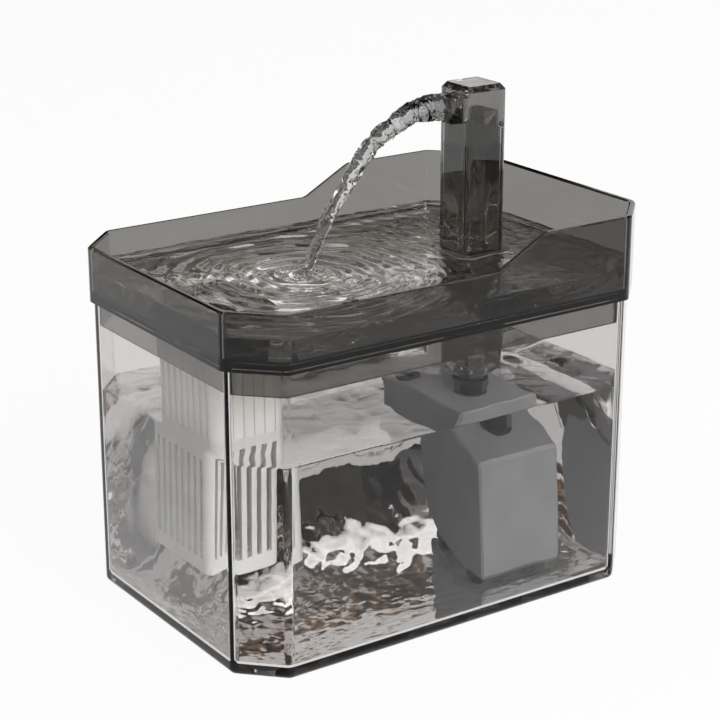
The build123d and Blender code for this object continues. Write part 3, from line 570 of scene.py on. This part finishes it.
# places along the jet, y and z, and its radius there, all in millimetres
jet_path = [(47, 191, 6.2), (41, 192, 6.4), (33, 193.5, 5.0), (20, 191.5, 3.9), (7, 185, 3.4),
            (-2, 176.5, 2.9), (-10, 166, 2.6), (-17, 155, 2.3), (-23, 145, 2.1),
            (-28.5, 133.5, 2.2)]


def jet_curve():
    """Smooth curve of the falling water, with its radius at each place."""
    curve = bpy.data.curves.new("jet", "CURVE")
    curve.dimensions = "3D"
    line = curve.splines.new("NURBS")
    line.points.add(len(jet_path) - 1)
    for point, (y, z, radius) in zip(line.points, jet_path):
        point.co = (0.0, y * MM, z * MM, 1.0)
        point.radius = radius * MM
    line.order_u = 3
    line.use_endpoint_u = True
    curve.resolution_u = 12
    return curve


jet_water = water("falling_water", 110.0, 1.0)
stream = new_piece(
    "pouring_stream",
    grown(stream_tree(), jet_curve(), {
        "Rope Size": 3.0 * MM, "Rope Depth": 3.8 * MM, "Bead Size": 2.2 * MM,
        "Bead Depth": 1.2 * MM, "Rings": 260, "Material": jet_water}),
    "tray", jet_water)
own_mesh(stream)


# ---- splash beads --------------------------------------------------------------------------------
def bead_tree():
    """Geometry Nodes: beads of splashed water strewn over a disc, each of its own size."""
    tree, given = new_tree("splash_beads", {"Density": "Float", "Smallest": "Float",
                                            "Largest": "Float", "Seed": "Int"})
    spots = add(tree, "GeometryNodeDistributePointsOnFaces",
                links={"Mesh": given["Geometry"], "Density": given["Density"],
                       "Seed": given["Seed"]})
    size = add(tree, "FunctionNodeRandomValue",
               links={2: given["Smallest"], 3: given["Largest"], "Seed": given["Seed"]})
    ball = add(tree, "GeometryNodeMeshIcoSphere", {"Radius": 1.0, "Subdivisions": 3})
    strewn = add(tree, "GeometryNodeInstanceOnPoints",
                 links={"Points": spots.outputs["Points"], "Instance": ball.outputs["Mesh"],
                        "Scale": size.outputs[1]})
    coated(tree, strewn.outputs[0], given["Material"])
    return tree


def landing_disc(radius, lift):
    """Flat disc on the bowl's water, round the place where the stream lands."""
    build = bmesh.new()
    bmesh.ops.create_circle(build, cap_ends=True, segments=32, radius=radius)
    bmesh.ops.translate(build, vec=landing + Vector((0, 0, lift)), verts=build.verts)
    return mesh_from(build)


new_piece(
    "splash_beads",
    grown(bead_tree(), landing_disc(11 * MM, 0.9 * MM), {
        "Density": 1.4e5, "Smallest": 0.4 * MM, "Largest": 1.2 * MM, "Seed": 5,
        "Material": jet_water}),
    "tray", jet_water)


# ---- filter foam ---------------------------------------------------------------------------------
foam_shy = 0.3 * MM                   # the block stays this far inside its CAD size
foam_edge = 1.4 * MM
foam_cuts = 47
pore_size, pore_depth = 1.6 * MM, 0.4 * MM
bulge_size, bulge_depth = 12 * MM, 0.12 * MM


def foam_block():
    """Cut foam block: softened edges, sides a little uneven, and open pores in its skin."""
    half = (sponge_high - sponge_low) / 2 - Vector((foam_shy,) * 3)
    core = half - Vector((foam_edge,) * 3)
    build = bmesh.new()
    bmesh.ops.create_cube(build, size=2.0)
    bmesh.ops.subdivide_edges(build, edges=build.edges[:], cuts=foam_cuts, use_grid_fill=True)
    for v in build.verts:
        full = Vector(c * h for c, h in zip(v.co, half))
        kept = Vector(max(-c, min(c, f)) for f, c in zip(full, core))
        out = (full - kept).normalized()
        v.co = kept + out * foam_edge
        pore = noise.noise(v.co / pore_size)
        bulge = noise.noise(v.co / bulge_size)
        v.co += out * (bulge_depth * bulge + pore_depth * min(pore, 0.1)) + sponge_mid
    return mesh_from(build)


foam = new_piece("foam_block", foam_block(), "sponge", finishes["yellow_foam"])
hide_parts("filter_sponge")


# ---- table, light and camera ---------------------------------------------------------------------
floor_half_width = 8.0
white_share = 0.9                     # of the floor's look; the rest is lit and holds the shadow


def pale_floor():
    """Wide white floor: it shows white to the eye and through the plastic, and keeps a soft
    shadow."""
    made, tree = new_material("white_paper_sweep")
    paper = add(tree, "ShaderNodeBsdfDiffuse", {"Color": linear("f8f8f8")})
    white = add(tree, "ShaderNodeEmission", {"Color": (1, 1, 1, 1), "Strength": 1.0})
    rays = add(tree, "ShaderNodeLightPath")
    shiny = reckon(tree, "MAXIMUM", rays.outputs["Is Camera Ray"], rays.outputs["Is Glossy Ray"])
    seen = reckon(tree, "MAXIMUM", shiny, rays.outputs["Is Transmission Ray"])
    share = reckon(tree, "MULTIPLY", seen, white_share)
    surface(tree, add(tree, "ShaderNodeMixShader",
                      links={0: share, 1: paper.outputs[0], 2: white.outputs[0]}))
    made.cycles.emission_sampling = "NONE"
    build = bmesh.new()
    bmesh.ops.create_grid(build, x_segments=1, y_segments=1, size=floor_half_width)
    mesh = bpy.data.meshes.new("floor")
    build.to_mesh(mesh)
    build.free()
    mesh.materials.append(made)
    floor = bpy.data.objects.new("floor", mesh)
    bpy.context.scene.collection.objects.link(floor)


# noise level and colour of the studio's flags, wood and cards, as gloss and clear plastic find them
card_tones = ((0.42, "1a1817"), (0.46, "6e5038"), (0.50, "a08260"), (0.54, "ffffff"))
cards_round = 8.0                     # noise scale over the sphere of directions
card_flatness = (1.0, 1.0, 2.0)       # cards are half as high as they are wide
ceiling_start, ceiling_full = 0.35, 0.8   # sines of the elevations where a grey ceiling takes over


def studio_world():
    """Studio room: soft grey for light; gloss and clear plastic also find dark flags, warm wood
    and white cards at eye height in it."""
    world = bpy.data.worlds.new("studio")
    bpy.context.scene.world = world
    world.use_nodes = True
    tree = world.node_tree
    tree.nodes.clear()
    place = add(tree, "ShaderNodeTexCoord")
    split = add(tree, "ShaderNodeSeparateXYZ", links={"Vector": place.outputs["Generated"]})
    shelves = add(tree, "ShaderNodeVectorMath", {1: card_flatness},
                  {0: place.outputs["Generated"]}, operation="MULTIPLY")
    cards = add(tree, "ShaderNodeTexNoise",
                {"Scale": cards_round, "Detail": 2.0, "Roughness": 0.5},
                {"Vector": shelves.outputs[0]})
    tones = add(tree, "ShaderNodeValToRGB", links={"Fac": cards.outputs["Fac"]})
    for position, colour in card_tones:
        stop = tones.color_ramp.elements.new(position)
        stop.color = linear(colour)
    tones.color_ramp.elements.remove(tones.color_ramp.elements[0])
    tones.color_ramp.elements.remove(tones.color_ramp.elements[-1])
    overhead = add(tree, "ShaderNodeMapRange",
                   {"From Min": ceiling_start, "From Max": ceiling_full},
                   {"Value": split.outputs["Z"]})
    grey = add(tree, "ShaderNodeMix", {6: linear("808080"), 7: linear("c8c8c8")},
               {0: overhead.outputs["Result"]}, data_type="RGBA")
    room = add(tree, "ShaderNodeMix", {7: linear("7c7c7c")},
               {0: overhead.outputs["Result"], 6: tones.outputs["Color"]}, data_type="RGBA")
    rays = add(tree, "ShaderNodeLightPath")
    shiny = reckon(tree, "MAXIMUM", rays.outputs["Is Glossy Ray"],
                   rays.outputs["Is Transmission Ray"])
    lit = add(tree, "ShaderNodeMix",
              links={0: shiny, 6: grey.outputs[2], 7: room.outputs[2]}, data_type="RGBA")
    studio = add(tree, "ShaderNodeBackground", {"Strength": 1.0}, {"Color": lit.outputs[2]})
    white = add(tree, "ShaderNodeBackground", {"Color": (1, 1, 1, 1), "Strength": 1.0})
    mixed = add(tree, "ShaderNodeMixShader",
                links={0: rays.outputs["Is Camera Ray"], 1: studio.outputs[0],
                       2: white.outputs[0]})
    add(tree, "ShaderNodeOutputWorld", links={"Surface": mixed.outputs[0]})


def way_towards(azimuth, elevation):
    """Unit vector from the fountain to a place round it; azimuth 0 is the -Y side, 90 the +X
    side."""
    a, e = math.radians(azimuth), math.radians(elevation)
    return Vector((math.sin(a) * math.cos(e), -math.cos(a) * math.cos(e), math.sin(e)))


lamp_aim = Vector((0, 0, 0.1))        # half-way up the fountain


def softbox(name, azimuth, elevation, distance, size, power):
    """Square soft lamp that looks at the fountain; degrees, metres and watts."""
    way = way_towards(azimuth, elevation)
    lamp = bpy.data.lights.new(name, "AREA")
    lamp.shape = "SQUARE"
    lamp.size = size
    lamp.energy = power
    made = bpy.data.objects.new(name, lamp)
    bpy.context.scene.collection.objects.link(made)
    made.location = lamp_aim + way * distance
    made.rotation_mode = "QUATERNION"
    made.rotation_quaternion = way.to_track_quat("Z", "Y")
    made.visible_camera = False


pale_floor()
studio_world()
softbox("key_softbox", azimuth=88, elevation=32, distance=2.2, size=1.3, power=34)
softbox("fill_softbox", azimuth=-30, elevation=35, distance=2.4, size=1.2, power=6)
softbox("rear_softbox", azimuth=215, elevation=40, distance=2.2, size=1.0, power=6)

eye = Vector((644.8, -444.1, 364.9)) * MM
look_azimuth = 55.575                 # side that the camera stands on, in degrees from -Y
look_elevation = 19.13
camera_data = bpy.data.cameras.new("camera")
camera_data.lens = 102.5
camera_data.sensor_width = 36.0
camera_data.clip_start = 0.02
camera_data.clip_end = 50.0
camera = bpy.data.objects.new("camera", camera_data)
bpy.context.scene.collection.objects.link(camera)
camera.rotation_mode = "QUATERNION"
camera.rotation_quaternion = way_towards(look_azimuth, look_elevation).to_track_quat("Z", "Y")
camera.location = eye
scene = bpy.context.scene
scene.camera = camera
scene.view_settings.view_transform = "Standard"
scene.cycles.max_bounces = 32
scene.cycles.transmission_bounces = 28
scene.cycles.transparent_max_bounces = 32
scene.cycles.glossy_bounces = 12
scene.cycles.caustics_refractive = True
scene.cycles.caustics_reflective = False
